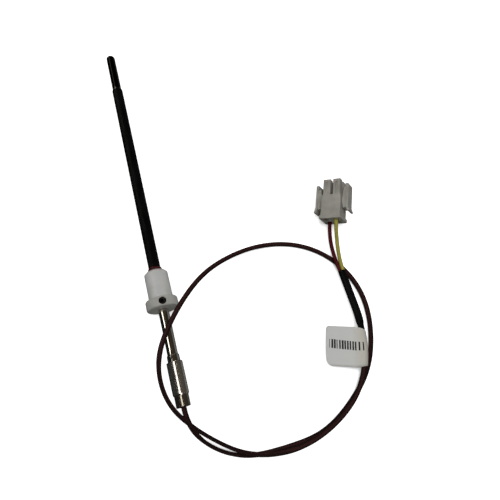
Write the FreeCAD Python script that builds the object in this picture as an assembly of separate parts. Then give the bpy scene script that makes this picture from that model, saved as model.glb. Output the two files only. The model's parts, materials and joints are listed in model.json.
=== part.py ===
import FreeCAD
import Part
import math
import os

# Flame sensor probe, in millimetres. The stem lies along +Y with its sensing tip at the +Y end, +X is to its
# right and +Z is up. The origin is the centre of the shoulder where the bush's barrel meets its flange.
# The whole object lies on the plane z = FLOOR.

V = FreeCAD.Vector
ORIGIN = V(0, 0, 0)
X_AXIS = V(1, 0, 0)
Y_AXIS = V(0, 1, 0)
Z_AXIS = V(0, 0, 1)

# Stem: a 6 mm steel sheath, closed at the tip, with a black sleeve over its middle.
SHEATH_R = 3.0
SHEATH_BORE_R = 2.5
SHEATH_REAR_Y = -45.05
SHEATH_FRONT_Y = 190.05
TIP_SPIGOT_LENGTH = 2.0
TIP_CAP_LENGTH = 2.4
TIP_ROUND = 2.1
RUNNING_GAP = 0.05
SLEEVE_R = 3.55
SLEEVE_REAR_Y = 17.5
SLEEVE_FRONT_Y = 159.5
SEAL_R = 4.85
SEAL_TOP_R = 3.9
SEAL_HEIGHT = 2.5

# Inside the sheath: twin-bore beads, two thermocouple wires and their welded junction.
BEAD_R = 2.3
BEAD_BORE_R = 0.5
BEAD_COUNT = 10
BEAD_REAR_Y = -47.05
BEAD_FRONT_Y = 183.6
BEAD_GAP = 0.1
WIRE_R = 0.4
WIRE_OFFSET = 0.9
WIRE_REAR_Y = -51.65
JUNCTION_R = 1.45
JUNCTION_Y = 186.4

# Mounting bush with its grub screw and pad.
BARREL_R = 7.0
BARREL_LENGTH = 17.45
BARREL_NOSE_R = 5.7
BARREL_NOSE_LENGTH = 1.2
BARREL_NOSE_ROUND = 0.6
FLANGE_R = 9.4
FLANGE_THICKNESS = 6.15
FLANGE_ROUND = 1.1
BUSH_BORE_R = SHEATH_R + RUNNING_GAP
GRUB_ANGLE = 12.0
GRUB_Y = -3.3
GRUB_HOLE_R = 2.2
GRUB_R = GRUB_HOLE_R - RUNNING_GAP
GRUB_BOTTOM = 4.2
GRUB_TOP = 8.2
GRUB_SOCKET_ACROSS_FLATS = 2.0
GRUB_SOCKET_DEPTH = 2.0
PAD_R = 2.1
PAD_GAP = 0.03

# Rear end: neck ring, crimped ferrule, and what they hold.
NECK_R = 3.5
NECK_FRONT_Y = -33.05
FERRULE_R = 4.5
FERRULE_BORE_R = 3.95
FERRULE_FRONT_Y = -37.05
NECK_REAR_Y = -42.05
CRIMP_START_Y = -54.55
CRIMP_FULL_Y = -55.55
CRIMP_R = 3.95
CRIMP_BORE_R = 3.4
FERRULE_REAR_Y = -61.45
POTTING_REAR_Y = -54.45
BARREL_SPLICE_R = 0.85
BARREL_SPLICE_BORE_R = 0.55
SPLICE_FRONT_Y = -49.55
SPLICE_REAR_Y = -53.55
GROMMET_FRONT_Y = -55.65

# Flat two-core cable: half a circle at each side of a flat middle. A guide is the short straight start or
# end of a bent wire.
GUIDE_LENGTH = 0.5
CABLE_WIDTH = 2.9
CABLE_HEIGHT = 1.9
CORE_R = 0.5
CORE_OFFSET = 0.65
FLOOR = -FLANGE_R
CABLE_REST_Z = FLOOR + 1.3
CABLE_STACK_Z = CABLE_REST_Z + 2.6
ANCHORED_END_Y = -61.65
LOOSE_END_Y = -62.25

# The cable's loop. Each knot is an angle about the loop's centre in degrees, a radius and a height. The first
# turn lies on the floor, the second climbs over the stem behind the bush and then lies on the first.
LOOP_CENTRE_X = 53.9
LOOP_CENTRE_Y = -41.25
LOOP_KNOTS = [
    (-152, 60.4, -2.1), (-143, 61.9, -6.0), (-133, 61.6, CABLE_REST_Z), (-118, 59.3, CABLE_REST_Z),
    (-99, 55.3, CABLE_REST_Z), (-75, 54.8, CABLE_REST_Z), (-49, 55.2, CABLE_REST_Z), (-30, 57.9, CABLE_REST_Z),
    (-9, 61.0, CABLE_REST_Z), (14, 65.4, CABLE_REST_Z), (36, 66.9, CABLE_REST_Z), (58, 65.4, CABLE_REST_Z),
    (78, 62.1, -7.4), (100, 57.0, -0.4), (120, 53.9, 7.5), (140, 52.9, 12.3), (158, 55.6, 13.3),
    (172, 59.8, 11.0), (187, 62.5, 6.3), (199, 62.2, 3.4), (211, 60.6, 0.8), (225, 58.9, -3.2),
    (244, 58.2, CABLE_STACK_Z), (268, 56.5, CABLE_STACK_Z), (299, 55.2, CABLE_STACK_Z), (318, 55.7, -5.7),
]

# The cable's tail: straight for a while from the sleeve's mouth, then an arc back into the loop.
MOUTH_X = 109.6
MOUTH_Y = -10.15
TAIL_Z = -4.2
TAIL_STRAIGHT = 24.0
TAIL_BEND_R = 80.0
TAIL_TURN = 25.5
SHRINK_R = 2.4
SHRINK_BORE_R = 2.225
SHRINK_START = 0.7
SHRINK_END = 46.0
JACKET_END = 38.0
CORE_SPLICED = 29.5
SPLICE_R = 1.05
SPLICE_BORE_R = 0.65
SPLICE_OFFSET = 1.12
SPLICE_NEAR = 25.0
SPLICE_FAR = 32.0
LEAD_R = 1.1
LEAD_OFFSET = 1.11
LEAD_CONDUCTOR_R = 0.6
LEAD_STRIPPED = 24.8
LEAD_CONDUCTOR_END = 28.8
SWING_GAP = 0.35

# Folded label: a ring round the tail with a two-layer flag on its left.
LABEL_NEAR = 37.0
LABEL_LENGTH = 22.3
LABEL_RING_R = 2.75
LABEL_RING_BORE_R = 2.6
LABEL_FLAG_REACH = 20.6
LABEL_PAPER = 0.3
LABEL_FRONT_CORNER = 2.0
LABEL_REAR_CORNER = 4.2
LABEL_SKEW = 1.2

# Two-by-two connector. Its own axes are right, mating direction and up; its origin is the centre of its wire end.
CONNECTOR_ORIGIN = V(114.5, 20.75, 0.1)
CONNECTOR_YAW = 20.5
CONNECTOR_PITCH = 9.5
CONNECTOR_ROLL = 29.0
RIM_WIDTH = 13.8
RIM_HEIGHT = 14.6
RIM_THICKNESS = 2.0
BODY_SIDE = 12.6
BODY_END = 15.5
CONNECTOR_LENGTH = 26.0
CAVITY_PITCH = 6.35
SILO_SIDE = 4.74
CAVITY_R = 1.75
CAVITY_END = 20.0
SOCKET_OPENING_R = 1.55
GROOVE_WIDTH = 1.3
GROOVE_DEPTH = 0.5
ARM_INNER_X = 9.1
ARM_OUTER_X = 10.55
ARM_HALF_HEIGHT = 4.1
ARM_REAR = 5.0
ARM_FRONT = 22.9
ARM_BEVEL = 0.4
ARM_FLARE = 1.15
ARM_FLARE_LENGTH = 3.2
HOOK_DEPTH = 0.8
HOOK_LENGTH = 2.0
WEB_START = 7.2
WEB_CREST = 12.5
WEB_END = 20.5
WEB_HALF_HEIGHT = 3.6
WEB_GAP = 0.2
WEB_SLOPE = 0.13
TERMINAL_CRIMP_R = 1.5
TERMINAL_NECK_R = 0.9
TERMINAL_SOCKET_R = 1.4
TERMINAL_SOCKET_BORE_R = 0.95
TERMINAL_CRIMP_START = 5.0
TERMINAL_CRIMP_END = 11.0
TERMINAL_NECK_END = 12.5
TERMINAL_END = 24.0
LEAD_INSULATION_END = 4.8
LEAD_STRAND_END = 10.0

# Heights and places of one knot of each lead between the sleeve's mouth and the connector.
RED_LEAD_KNOT = V(109.3, 6.75, -4.4)
YELLOW_LEAD_KNOT = V(112.1, 5.25, -1.0)


def rod(radius, y0, y1, x=0.0):
    """A round bar along the stem, at a sideways offset."""
    return Part.makeCylinder(radius, y1 - y0, V(x, y0, 0), Y_AXIS)


def tube(outer, inner, y0, y1, x=0.0):
    """A round tube along the stem."""
    return rod(outer, y0, y1, x).cut(rod(inner, y0 - 1, y1 + 1, x))


def turned(profile):
    """A solid turned about the stem's axis from a list of (radius, y)."""
    points = [V(radius, y, 0) for radius, y in profile]
    face = Part.Face(Part.makePolygon(points + points[:1]))
    return face.revolve(ORIGIN, Y_AXIS, 360)


def round_ring(solid, radius, y, size):
    """Rounds the circular edges of that radius at that y."""
    edges = []
    for edge in solid.Edges:
        if edge.Curve.TypeId != "Part::GeomCircle":
            continue
        if abs(edge.Curve.Radius - radius) < 1e-6 and abs(edge.Curve.Center.y - y) < 1e-6:
            edges.append(edge)
    return solid.makeFillet(size, edges)


def circle_wire(centre, direction, radius):
    return Part.Wire(Part.makeCircle(radius, centre, direction))


def oval_wire(centre, direction, width, height):
    """The cable's outline, flat side up, square to a direction."""
    side = direction.cross(Z_AXIS).normalize()
    top = side.cross(direction).normalize()
    half_flat = (width - height) / 2
    corners = []
    for across, up in ((-1, -1), (1, -1), (1, 1), (-1, 1)):
        corners.append(centre + side * (across * half_flat) + top * (up * height / 2))
    right = centre + side * (width / 2)
    left = centre - side * (width / 2)
    edges = [
        Part.makeLine(corners[0], corners[1]),
        Part.Arc(corners[1], right, corners[2]).toShape(),
        Part.makeLine(corners[2], corners[3]),
        Part.Arc(corners[3], left, corners[0]).toShape(),
    ]
    return Part.Wire(edges)


def swept(path, outline):
    """A solid swept along a path, kept upright."""
    shell = Part.BRepOffsetAPI.MakePipeShell(path)
    shell.setBiNormalMode(Z_AXIS)
    shell.add(outline)
    shell.build()
    shell.makeSolid()
    return shell.shape()


def spline_path(points, start_direction, end_direction):
    """A smooth curve through the points that leaves and arrives along the two directions."""
    leaving = points[0] + start_direction * GUIDE_LENGTH
    arriving = points[-1] - end_direction * GUIDE_LENGTH
    curve = Part.BSplineCurve()
    curve.interpolate([points[0], leaving] + points[1:-1] + [arriving, points[-1]])
    return Part.Wire(curve.toShape())


# Stem

def sheath_tube():
    return tube(SHEATH_R, SHEATH_BORE_R, SHEATH_REAR_Y, SHEATH_FRONT_Y)


def tip_plug():
    """The welded blunt end of the sheath, with a spigot inside it."""
    tip_y = SHEATH_FRONT_Y + TIP_CAP_LENGTH
    cap = round_ring(rod(SHEATH_R, SHEATH_FRONT_Y, tip_y), SHEATH_R, tip_y, TIP_ROUND)
    spigot = rod(SHEATH_BORE_R, SHEATH_FRONT_Y - TIP_SPIGOT_LENGTH, SHEATH_FRONT_Y)
    return spigot.fuse(cap).removeSplitter()


def stem_sleeve():
    return tube(SLEEVE_R, SHEATH_R + RUNNING_GAP, SLEEVE_REAR_Y, SLEEVE_FRONT_Y)


def seal_ring():
    """Red silicone bead round the foot of the sleeve, with a hollowed flank."""
    foot = SLEEVE_REAR_Y
    lip = V(SEAL_R, foot + 0.7, 0)
    hollow = V(SLEEVE_R + 0.65, foot + 1.2, 0)
    top = V(SEAL_TOP_R, foot + SEAL_HEIGHT - 0.3, 0)
    edges = [
        Part.makeLine(V(SLEEVE_R, foot, 0), V(SEAL_R, foot, 0)),
        Part.makeLine(V(SEAL_R, foot, 0), lip),
        Part.Arc(lip, hollow, top).toShape(),
        Part.makeLine(top, V(SLEEVE_R, foot + SEAL_HEIGHT, 0)),
        Part.makeLine(V(SLEEVE_R, foot + SEAL_HEIGHT, 0), V(SLEEVE_R, foot, 0)),
    ]
    return Part.Face(Part.Wire(edges)).revolve(ORIGIN, Y_AXIS, 360)


def insulator_beads():
    """Alumina beads, each with two bores, end to end inside the sheath."""
    pitch = (BEAD_FRONT_Y - BEAD_REAR_Y) / BEAD_COUNT
    beads = []
    for index in range(BEAD_COUNT):
        start = BEAD_REAR_Y + index * pitch
        end = start + pitch - BEAD_GAP
        bead = rod(BEAD_R, start, end)
        for side in (-1, 1):
            bead = bead.cut(rod(BEAD_BORE_R, start - 1, end + 1, side * WIRE_OFFSET))
        beads.append(bead)
    return Part.makeCompound(beads)


def hot_junction():
    return Part.makeSphere(JUNCTION_R, V(0, JUNCTION_Y, 0))


def thermo_wire(side):
    """One thermocouple wire, from its crimp in the ferrule to the junction."""
    return rod(WIRE_R, WIRE_REAR_Y, JUNCTION_Y, side * WIRE_OFFSET).cut(hot_junction())


# Mounting bush

def grub_place(shape):
    """Moves a shape built on +Z at the origin to the grub screw's hole."""
    shape.rotate(ORIGIN, Y_AXIS, GRUB_ANGLE)
    shape.translate(V(0, GRUB_Y, 0))
    return shape


def mounting_bush():
    bush = turned([
        (BUSH_BORE_R, -FLANGE_THICKNESS), (FLANGE_R, -FLANGE_THICKNESS), (FLANGE_R, 0), (BARREL_R, 0),
        (BARREL_R, BARREL_LENGTH - BARREL_NOSE_LENGTH), (BARREL_NOSE_R, BARREL_LENGTH),
        (BUSH_BORE_R, BARREL_LENGTH),
    ])
    bush = round_ring(bush, FLANGE_R, 0, FLANGE_ROUND)
    bush = round_ring(bush, FLANGE_R, -FLANGE_THICKNESS, FLANGE_ROUND)
    bush = round_ring(bush, BARREL_R, BARREL_LENGTH - BARREL_NOSE_LENGTH, BARREL_NOSE_ROUND)
    hole = Part.makeCylinder(GRUB_HOLE_R, FLANGE_R + 1, ORIGIN, Z_AXIS)
    return bush.cut(grub_place(hole))


def clamp_pad():
    """Brass pad under the screw, hollowed to the sheath's curve."""
    pad = Part.makeCylinder(PAD_R, GRUB_BOTTOM - PAD_GAP, ORIGIN, Z_AXIS)
    saddle = SHEATH_R + PAD_GAP
    return grub_place(pad).cut(rod(saddle, GRUB_Y - PAD_R - 1, GRUB_Y + PAD_R + 1))


def grub_screw():
    """Set screw with a hexagon socket in its outer end."""
    screw = Part.makeCylinder(GRUB_R, GRUB_TOP - GRUB_BOTTOM, V(0, 0, GRUB_BOTTOM), Z_AXIS)
    rims = []
    for edge in screw.Edges:
        if edge.Curve.TypeId == "Part::GeomCircle":
            rims.append(edge)
    screw = screw.makeChamfer(0.3, rims)
    corner_r = GRUB_SOCKET_ACROSS_FLATS / math.sqrt(3)
    floor_z = GRUB_TOP - GRUB_SOCKET_DEPTH
    corners = []
    for index in range(7):
        angle = math.radians(60 * index)
        corners.append(V(corner_r * math.cos(angle), corner_r * math.sin(angle), floor_z))
    socket = Part.Face(Part.makePolygon(corners)).extrude(V(0, 0, GRUB_SOCKET_DEPTH + 1))
    return grub_place(screw.cut(socket))


# Ferrule and what it holds

def neck_ring():
    """Stepped ring: a collar on the sheath and a wider plug inside the ferrule."""
    plug_y = FERRULE_FRONT_Y - 0.02
    plug_r = FERRULE_BORE_R - 0.02
    return turned([
        (SHEATH_R, NECK_REAR_Y), (plug_r, NECK_REAR_Y), (plug_r, plug_y), (NECK_R, plug_y),
        (NECK_R, NECK_FRONT_Y - 0.4), (NECK_R - 0.4, NECK_FRONT_Y), (SHEATH_R, NECK_FRONT_Y),
    ])


def ferrule():
    """Steel cap over the joint, squeezed at its rear onto the cable's grommet."""
    edge = 0.3
    return turned([
        (CRIMP_BORE_R, FERRULE_REAR_Y), (CRIMP_R - edge, FERRULE_REAR_Y), (CRIMP_R, FERRULE_REAR_Y + edge),
        (CRIMP_R, CRIMP_FULL_Y), (FERRULE_R, CRIMP_START_Y), (FERRULE_R, FERRULE_FRONT_Y - edge),
        (FERRULE_R - edge, FERRULE_FRONT_Y), (FERRULE_BORE_R, FERRULE_FRONT_Y),
        (FERRULE_BORE_R, CRIMP_START_Y), (CRIMP_BORE_R, CRIMP_FULL_Y),
    ])


def crimp_splices():
    """The two crimped barrels that join the thermocouple wires to the cable's cores."""
    barrels = []
    for side in (-1, 1):
        barrels.append(tube(BARREL_SPLICE_R, BARREL_SPLICE_BORE_R, SPLICE_REAR_Y, SPLICE_FRONT_Y,
                            side * WIRE_OFFSET))
    return Part.makeCompound(barrels)


def ferrule_core(side):
    """A core of the cable from its crimp barrel to the anchored jacket."""
    points = [
        V(side * WIRE_OFFSET, WIRE_REAR_Y - 0.1, 0), V(side * WIRE_OFFSET, SPLICE_REAR_Y, 0),
        V(side * CORE_OFFSET, GROMMET_FRONT_Y - 0.1, 0),
    ]
    backwards = V(0, -1, 0)
    path = spline_path(points, backwards, backwards)
    return swept(path, circle_wire(points[0], backwards, CORE_R))


def cable_anchored_end():
    """The first stretch of the cable, held by the grommet."""
    outline = oval_wire(V(0, GROMMET_FRONT_Y - 0.1, 0), V(0, -1, 0), CABLE_WIDTH, CABLE_HEIGHT)
    length = GROMMET_FRONT_Y - 0.1 - ANCHORED_END_Y
    return Part.Face(outline).extrude(V(0, -length, 0))


def cable_grommet():
    body = rod(CRIMP_BORE_R - 0.02, FERRULE_REAR_Y + 0.2, GROMMET_FRONT_Y)
    outline = oval_wire(V(0, GROMMET_FRONT_Y + 1, 0), V(0, -1, 0), CABLE_WIDTH, CABLE_HEIGHT)
    return body.cut(Part.Face(outline).extrude(V(0, -10, 0)))


def ferrule_potting():
    """Resin that fills the ferrule round the sheath's end, the wires and the crimps."""
    resin = rod(FERRULE_BORE_R - 0.02, POTTING_REAR_Y, NECK_REAR_Y - 0.02)
    resin = resin.cut(rod(SHEATH_R, SHEATH_REAR_Y, NECK_REAR_Y))
    resin = resin.cut(rod(BEAD_R, BEAD_REAR_Y, SHEATH_REAR_Y + 1))
    for side in (-1, 1):
        resin = resin.cut(rod(WIRE_R, WIRE_REAR_Y, BEAD_REAR_Y, side * WIRE_OFFSET))
        resin = resin.cut(rod(BARREL_SPLICE_R, SPLICE_REAR_Y, SPLICE_FRONT_Y, side * WIRE_OFFSET))
        resin = resin.cut(ferrule_core(side))
    return resin


# Cable and tail

def loop_point(angle, radius, height):
    turn = math.radians(angle)
    return V(LOOP_CENTRE_X + radius * math.cos(turn), LOOP_CENTRE_Y + radius * math.sin(turn), height)


def tail_point(distance, offset=0.0):
    """A point of the tail, at a distance back from the sleeve's mouth and an offset to the right."""
    if distance <= TAIL_STRAIGHT:
        return V(MOUTH_X + offset, MOUTH_Y - distance, TAIL_Z)
    turn = (distance - TAIL_STRAIGHT) / TAIL_BEND_R
    reach = TAIL_BEND_R + offset
    centre_x = MOUTH_X - TAIL_BEND_R
    centre_y = MOUTH_Y - TAIL_STRAIGHT
    return V(centre_x + reach * math.cos(turn), centre_y - reach * math.sin(turn), TAIL_Z)


def tail_direction(distance):
    """The way back along the tail, away from the mouth."""
    turn = max(0.0, distance - TAIL_STRAIGHT) / TAIL_BEND_R
    return V(-math.sin(turn), -math.cos(turn), 0)


def tail_path(start, end, offset=0.0):
    """The stretch of the tail between two distances from the mouth, as a line, an arc or both."""
    edges = []
    if start < TAIL_STRAIGHT:
        straight_end = min(end, TAIL_STRAIGHT)
        edges.append(Part.makeLine(tail_point(start, offset), tail_point(straight_end, offset)))
    if end > TAIL_STRAIGHT:
        bend_start = max(start, TAIL_STRAIGHT)
        middle = tail_point((bend_start + end) / 2, offset)
        arc = Part.Arc(tail_point(bend_start, offset), middle, tail_point(end, offset))
        edges.append(arc.toShape())
    return Part.Wire(edges)


def tail_bar(radius, start, end, offset=0.0):
    outline = circle_wire(tail_point(start, offset), tail_direction(start), radius)
    return swept(tail_path(start, end, offset), outline)


def cable_jacket():
    """The flat jacket of the loop, from just outside the ferrule to its end inside the heat-shrink."""
    start = V(0, LOOSE_END_Y, 0)
    tail_length = TAIL_STRAIGHT + math.radians(TAIL_TURN) * TAIL_BEND_R
    points = [start]
    for angle, radius, height in LOOP_KNOTS:
        points.append(loop_point(angle, radius, height))
    for share in (1.0, 0.6, 0.25):
        points.append(tail_point(JACKET_END + share * (tail_length - JACKET_END)))
    points.append(tail_point(JACKET_END))
    path = spline_path(points, V(0, -1, 0), tail_direction(JACKET_END) * -1)
    return swept(path, oval_wire(start, V(0, -1, 0), CABLE_WIDTH, CABLE_HEIGHT))


def heat_shrink():
    outer = tail_bar(SHRINK_R, SHRINK_START, SHRINK_END)
    return outer.cut(tail_bar(SHRINK_BORE_R, SHRINK_START - 0.5, SHRINK_END + 0.5))


def tail_core(side):
    """A core of the cable from the end of the jacket to its splice."""
    points = [
        tail_point(JACKET_END - 0.05, side * CORE_OFFSET),
        tail_point(SPLICE_FAR + 0.3, side * SPLICE_OFFSET),
        tail_point(CORE_SPLICED, side * SPLICE_OFFSET),
    ]
    path = spline_path(points, tail_direction(JACKET_END) * -1, Y_AXIS)
    return swept(path, circle_wire(points[0], tail_direction(JACKET_END), CORE_R))


def tail_splices():
    barrels = []
    for side in (-1, 1):
        barrel = tail_bar(SPLICE_R, SPLICE_NEAR, SPLICE_FAR, side * SPLICE_OFFSET)
        bore = tail_bar(SPLICE_BORE_R, SPLICE_NEAR - 0.5, SPLICE_FAR + 0.5, side * SPLICE_OFFSET)
        barrels.append(barrel.cut(bore))
    return Part.makeCompound(barrels)


def lead_spliced_end(side):
    """The end of a lead inside the heat-shrink, stripped where it enters its splice."""
    insulation = tail_bar(LEAD_R, SWING_GAP, LEAD_STRIPPED, side * LEAD_OFFSET)
    conductor = tail_bar(LEAD_CONDUCTOR_R, LEAD_STRIPPED, LEAD_CONDUCTOR_END, side * LEAD_OFFSET)
    return insulation.fuse(conductor)


def label_flag():
    """Paper label folded round the tail, its two halves stuck together into a flag."""
    end = LABEL_NEAR + LABEL_LENGTH
    ring = tail_bar(LABEL_RING_R, LABEL_NEAR, end)
    bore = tail_bar(LABEL_RING_BORE_R, LABEL_NEAR - 1, end + 1)
    near = tail_point(LABEL_NEAR)
    far = tail_point(end)
    back = (far - near).normalize()
    left = V(back.y, -back.x, 0)
    front_left = near + left * LABEL_FLAG_REACH
    rear_left = far + left * LABEL_FLAG_REACH
    bevel = 1 - math.cos(math.radians(45))
    front_corner = front_left + (back - left) * (LABEL_FRONT_CORNER * bevel)
    rear_corner = rear_left - (back + left) * (LABEL_REAR_CORNER * bevel)
    edges = [
        Part.makeLine(near, front_left - left * LABEL_FRONT_CORNER),
        Part.Arc(front_left - left * LABEL_FRONT_CORNER, front_corner,
                 front_left + back * LABEL_FRONT_CORNER).toShape(),
        Part.makeLine(front_left + back * LABEL_FRONT_CORNER, rear_left - back * LABEL_REAR_CORNER),
        Part.Arc(rear_left - back * LABEL_REAR_CORNER, rear_corner,
                 rear_left - left * LABEL_REAR_CORNER).toShape(),
        Part.makeLine(rear_left - left * LABEL_REAR_CORNER, far),
        Part.makeLine(far, near),
    ]
    flag = Part.Face(Part.Wire(edges)).extrude(V(0, 0, LABEL_PAPER))
    flag.translate(V(0, 0, -LABEL_PAPER / 2))
    flag.rotate(near, Z_AXIS, -LABEL_SKEW)
    return ring.fuse(flag).cut(bore)


# Connector

def connector_axes():
    """The connector's right, mating and up directions."""
    yaw = math.radians(CONNECTOR_YAW)
    pitch = math.radians(CONNECTOR_PITCH)
    roll = math.radians(CONNECTOR_ROLL)
    ahead = V(math.sin(yaw) * math.cos(pitch), math.cos(yaw) * math.cos(pitch), math.sin(pitch))
    level_right = V(math.cos(yaw), -math.sin(yaw), 0)
    level_up = level_right.cross(ahead)
    up = level_up * math.cos(roll) - level_right * math.sin(roll)
    return ahead.cross(up), ahead, up


def connector_place(shape):
    """Moves a shape from the connector's own axes to its place."""
    right, ahead, up = connector_axes()
    matrix = FreeCAD.Matrix(
        right.x, ahead.x, up.x, CONNECTOR_ORIGIN.x,
        right.y, ahead.y, up.y, CONNECTOR_ORIGIN.y,
        right.z, ahead.z, up.z, CONNECTOR_ORIGIN.z,
        0, 0, 0, 1)
    placed = shape.copy()
    placed.Placement = FreeCAD.Placement(matrix).multiply(shape.Placement)
    return placed


def block(x0, x1, y0, y1, z0, z1):
    return Part.makeBox(x1 - x0, y1 - y0, z1 - z0, V(x0, y0, z0))


def soft_block(width, height, y0, y1, size):
    """A block centred on the connector's axis, with its long edges rounded."""
    solid = block(-width / 2, width / 2, y0, y1, -height / 2, height / 2)
    long_edges = []
    for edge in solid.Edges:
        if abs(edge.tangentAt(edge.FirstParameter).y) > 0.9:
            long_edges.append(edge)
    return solid.makeFillet(size, long_edges)


def cavity_centres():
    half = CAVITY_PITCH / 2
    return [(x, z) for x in (-half, half) for z in (-half, half)]


def bar_at(radius, y0, y1, x, z):
    return Part.makeCylinder(radius, y1 - y0, V(x, y0, z), Y_AXIS)


def connector_housing():
    """Rim, body and four silos, with a stepped cavity through each silo and a groove down its outer faces."""
    housing = soft_block(RIM_WIDTH, RIM_HEIGHT, 0, RIM_THICKNESS, 0.5)
    housing = housing.fuse(soft_block(BODY_SIDE, BODY_SIDE, RIM_THICKNESS - 0.5, BODY_END, 0.5))
    for x, z in cavity_centres():
        silo = soft_block(SILO_SIDE, SILO_SIDE, BODY_END - 0.5, CONNECTOR_LENGTH, 0.5)
        silo.translate(V(x, 0, z))
        housing = housing.fuse(silo)
    for x, z in cavity_centres():
        housing = housing.cut(bar_at(CAVITY_R, -1, CAVITY_END, x, z))
        housing = housing.cut(bar_at(SOCKET_OPENING_R, CAVITY_END - 1, CONNECTOR_LENGTH + 1, x, z))
    reach = CAVITY_PITCH / 2 + SILO_SIDE / 2
    for x, _ in cavity_centres()[::2]:
        for side in (-1, 1):
            low, high = sorted((side * (reach - GROOVE_DEPTH), side * (reach + 1)))
            housing = housing.cut(block(x - GROOVE_WIDTH / 2, x + GROOVE_WIDTH / 2, BODY_END + 1,
                                        CONNECTOR_LENGTH - 2, low, high))
    return connector_place(housing.removeSplitter())


def latch_arm(side):
    """One latch arm: a plate with a flared finger end, a hook and the crested web it rocks on."""
    outline = [
        (ARM_INNER_X + ARM_FLARE, ARM_REAR), (ARM_OUTER_X + ARM_FLARE, ARM_REAR),
        (ARM_OUTER_X, ARM_REAR + ARM_FLARE_LENGTH), (ARM_OUTER_X, ARM_FRONT - ARM_BEVEL),
        (ARM_OUTER_X - ARM_BEVEL, ARM_FRONT), (ARM_INNER_X - HOOK_DEPTH / 2, ARM_FRONT),
        (ARM_INNER_X - HOOK_DEPTH, ARM_FRONT - HOOK_LENGTH), (ARM_INNER_X, ARM_FRONT - HOOK_LENGTH),
        (ARM_INNER_X, ARM_REAR + ARM_FLARE_LENGTH),
    ]
    points = [V(side * x, y, -ARM_HALF_HEIGHT) for x, y in outline]
    plate = Part.Face(Part.makePolygon(points + points[:1])).extrude(V(0, 0, 2 * ARM_HALF_HEIGHT))
    crest_x = BODY_SIDE / 2 + WEB_GAP
    root_x = ARM_INNER_X + 0.5
    web_outline = [
        (root_x, WEB_START), (crest_x + WEB_SLOPE * (WEB_CREST - WEB_START), WEB_START), (crest_x, WEB_CREST),
        (crest_x + WEB_SLOPE * (WEB_END - WEB_CREST), WEB_END), (root_x, WEB_END),
    ]
    points = [V(side * x, y, -WEB_HALF_HEIGHT) for x, y in web_outline]
    web = Part.Face(Part.makePolygon(points + points[:1])).extrude(V(0, 0, 2 * WEB_HALF_HEIGHT))
    return connector_place(plate.fuse(web).removeSplitter())


def terminal(side):
    """A crimp terminal: a barrel on the lead and a socket towards the mating end."""
    offset = side * CAVITY_PITCH / 2
    crimp = bar_at(TERMINAL_CRIMP_R, TERMINAL_CRIMP_START, TERMINAL_CRIMP_END, offset, offset)
    neck = bar_at(TERMINAL_NECK_R, TERMINAL_CRIMP_END - 0.5, TERMINAL_NECK_END + 0.5, offset, offset)
    socket = bar_at(TERMINAL_SOCKET_R, TERMINAL_NECK_END, TERMINAL_END, offset, offset)
    bore = bar_at(TERMINAL_SOCKET_BORE_R, TERMINAL_NECK_END + 1, TERMINAL_END + 1, offset, offset)
    wire_bore = bar_at(LEAD_CONDUCTOR_R + 0.02, TERMINAL_CRIMP_START - 1, LEAD_STRAND_END + 0.1, offset, offset)
    return connector_place(crimp.fuse(neck).fuse(socket).cut(bore).cut(wire_bore))


def lead(side, knot):
    """A loose lead from the sleeve's mouth into its cavity, with a stripped end in the terminal."""
    _, ahead, _ = connector_axes()
    offset = side * CAVITY_PITCH / 2
    start = tail_point(-SWING_GAP, side * LEAD_OFFSET)
    marker = Part.Vertex(offset, 0, offset)
    entry = connector_place(marker).Point
    inner = entry + ahead * LEAD_INSULATION_END
    path = spline_path([start, knot, entry, inner], Y_AXIS, ahead)
    insulation = swept(path, circle_wire(start, Y_AXIS, LEAD_R))
    strand = Part.makeCylinder(LEAD_CONDUCTOR_R, LEAD_STRAND_END - LEAD_INSULATION_END, inner, ahead)
    return insulation.fuse(strand)


def parts():
    return {
        "sheath_tube": sheath_tube(),
        "tip_plug": tip_plug(),
        "stem_sleeve": stem_sleeve(),
        "seal_ring": seal_ring(),
        "insulator_beads": insulator_beads(),
        "thermo_wire_positive": thermo_wire(1),
        "thermo_wire_negative": thermo_wire(-1),
        "hot_junction": hot_junction(),
        "mounting_bush": mounting_bush(),
        "clamp_pad": clamp_pad(),
        "grub_screw": grub_screw(),
        "neck_ring": neck_ring(),
        "ferrule": ferrule(),
        "ferrule_potting": ferrule_potting(),
        "crimp_splices": crimp_splices(),
        "cable_grommet": cable_grommet(),
        "cable_anchored_end": cable_anchored_end(),
        "cable_jacket": cable_jacket(),
        "cable_core_red": ferrule_core(-1),
        "cable_core_yellow": ferrule_core(1),
        "tail_core_red": tail_core(-1),
        "tail_core_yellow": tail_core(1),
        "tail_splices": tail_splices(),
        "heat_shrink": heat_shrink(),
        "label_flag": label_flag(),
        "lead_red_spliced_end": lead_spliced_end(-1),
        "lead_yellow_spliced_end": lead_spliced_end(1),
        "lead_red": lead(-1, RED_LEAD_KNOT),
        "lead_yellow": lead(1, YELLOW_LEAD_KNOT),
        "connector_housing": connector_housing(),
        "terminal_red": terminal(-1),
        "terminal_yellow": terminal(1),
        "latch_left": latch_arm(-1),
        "latch_right": latch_arm(1),
    }


os.makedirs("parts", exist_ok=True)
for node, shape in parts().items():
    shape.exportStep("parts/" + node + ".step")
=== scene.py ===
import json
import math

import bpy
import numpy as np
from mathutils import Matrix, Vector, noise


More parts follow.
